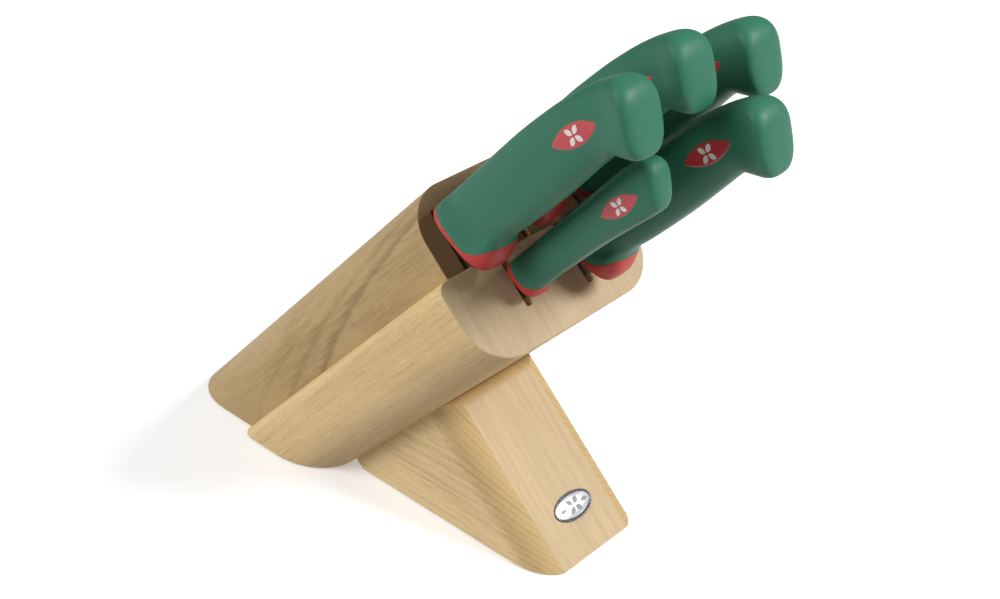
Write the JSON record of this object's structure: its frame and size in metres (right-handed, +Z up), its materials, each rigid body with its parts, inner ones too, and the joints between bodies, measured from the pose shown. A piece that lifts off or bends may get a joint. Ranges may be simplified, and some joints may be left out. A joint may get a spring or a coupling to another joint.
{
  "type": "knife block with knives",
  "caption": "Slanted two-slab oak block on a wedge leg, with slotted end face and removable kitchen knives that have green hooked handles and red collars.",
  "frame": {"origin": "middle of the whole footprint, on the table top", "axes": "+X towards the toe of the leg, +Y across the block, +Z up"},
  "size_m": [0.3108, 0.11, 0.2596],
  "materials": {
    "oak": "oiled, satin",
    "dowel_wood": "plain",
    "pad_rubber": "matte",
    "badge_chrome": "polished",
    "badge_face": "bright satin",
    "blade_steel": "satin ground",
    "green_grip": "soft satin",
    "red_collar": "satin",
    "red_inlay": "smooth"
  },
  "bodies": {
    "block": {"upper_block": "oak", "lower_block": "oak", "block_dowels": "dowel_wood", "stand_leg": "oak", "leg_dowels": "dowel_wood", "anti_slip_pads": "pad_rubber", "badge_rim": "badge_chrome", "badge_face": "badge_face"},
    "chef_knife": {"chef_blade": "blade_steel", "chef_handle": "green_grip", "chef_collar": "red_collar", "chef_emblems": "red_inlay"},
    "carving_knife": {"carving_blade": "blade_steel", "carving_handle": "green_grip", "carving_collar": "red_collar", "carving_emblems": "red_inlay"},
    "bread_knife": {"bread_blade": "blade_steel", "bread_handle": "green_grip", "bread_collar": "red_collar", "bread_emblems": "red_inlay"},
    "utility_knife": {"utility_blade": "blade_steel", "utility_handle": "green_grip", "utility_collar": "red_collar", "utility_emblems": "red_inlay"},
    "paring_knife": {"paring_blade": "blade_steel", "paring_handle": "green_grip", "paring_collar": "red_collar", "paring_emblems": "red_inlay"}
  },
  "joints": [
    {"name": "chef_slide", "type": "slide", "parent": "block", "child": "chef_knife", "axis": [0.7071, 0, 0.7071], "range_m": [0, 0.21]},
    {"name": "carving_slide", "type": "slide", "parent": "block", "child": "carving_knife", "axis": [0.7071, 0, 0.7071], "range_m": [0, 0.215]},
    {"name": "bread_slide", "type": "slide", "parent": "block", "child": "bread_knife", "axis": [0.7071, 0, 0.7071], "range_m": [0, 0.205]},
    {"name": "utility_slide", "type": "slide", "parent": "block", "child": "utility_knife", "axis": [0.7071, 0, 0.7071], "range_m": [0, 0.17]},
    {"name": "paring_slide", "type": "slide", "parent": "block", "child": "paring_knife", "axis": [0.7071, 0, 0.7071], "range_m": [0, 0.1]}
  ]
}
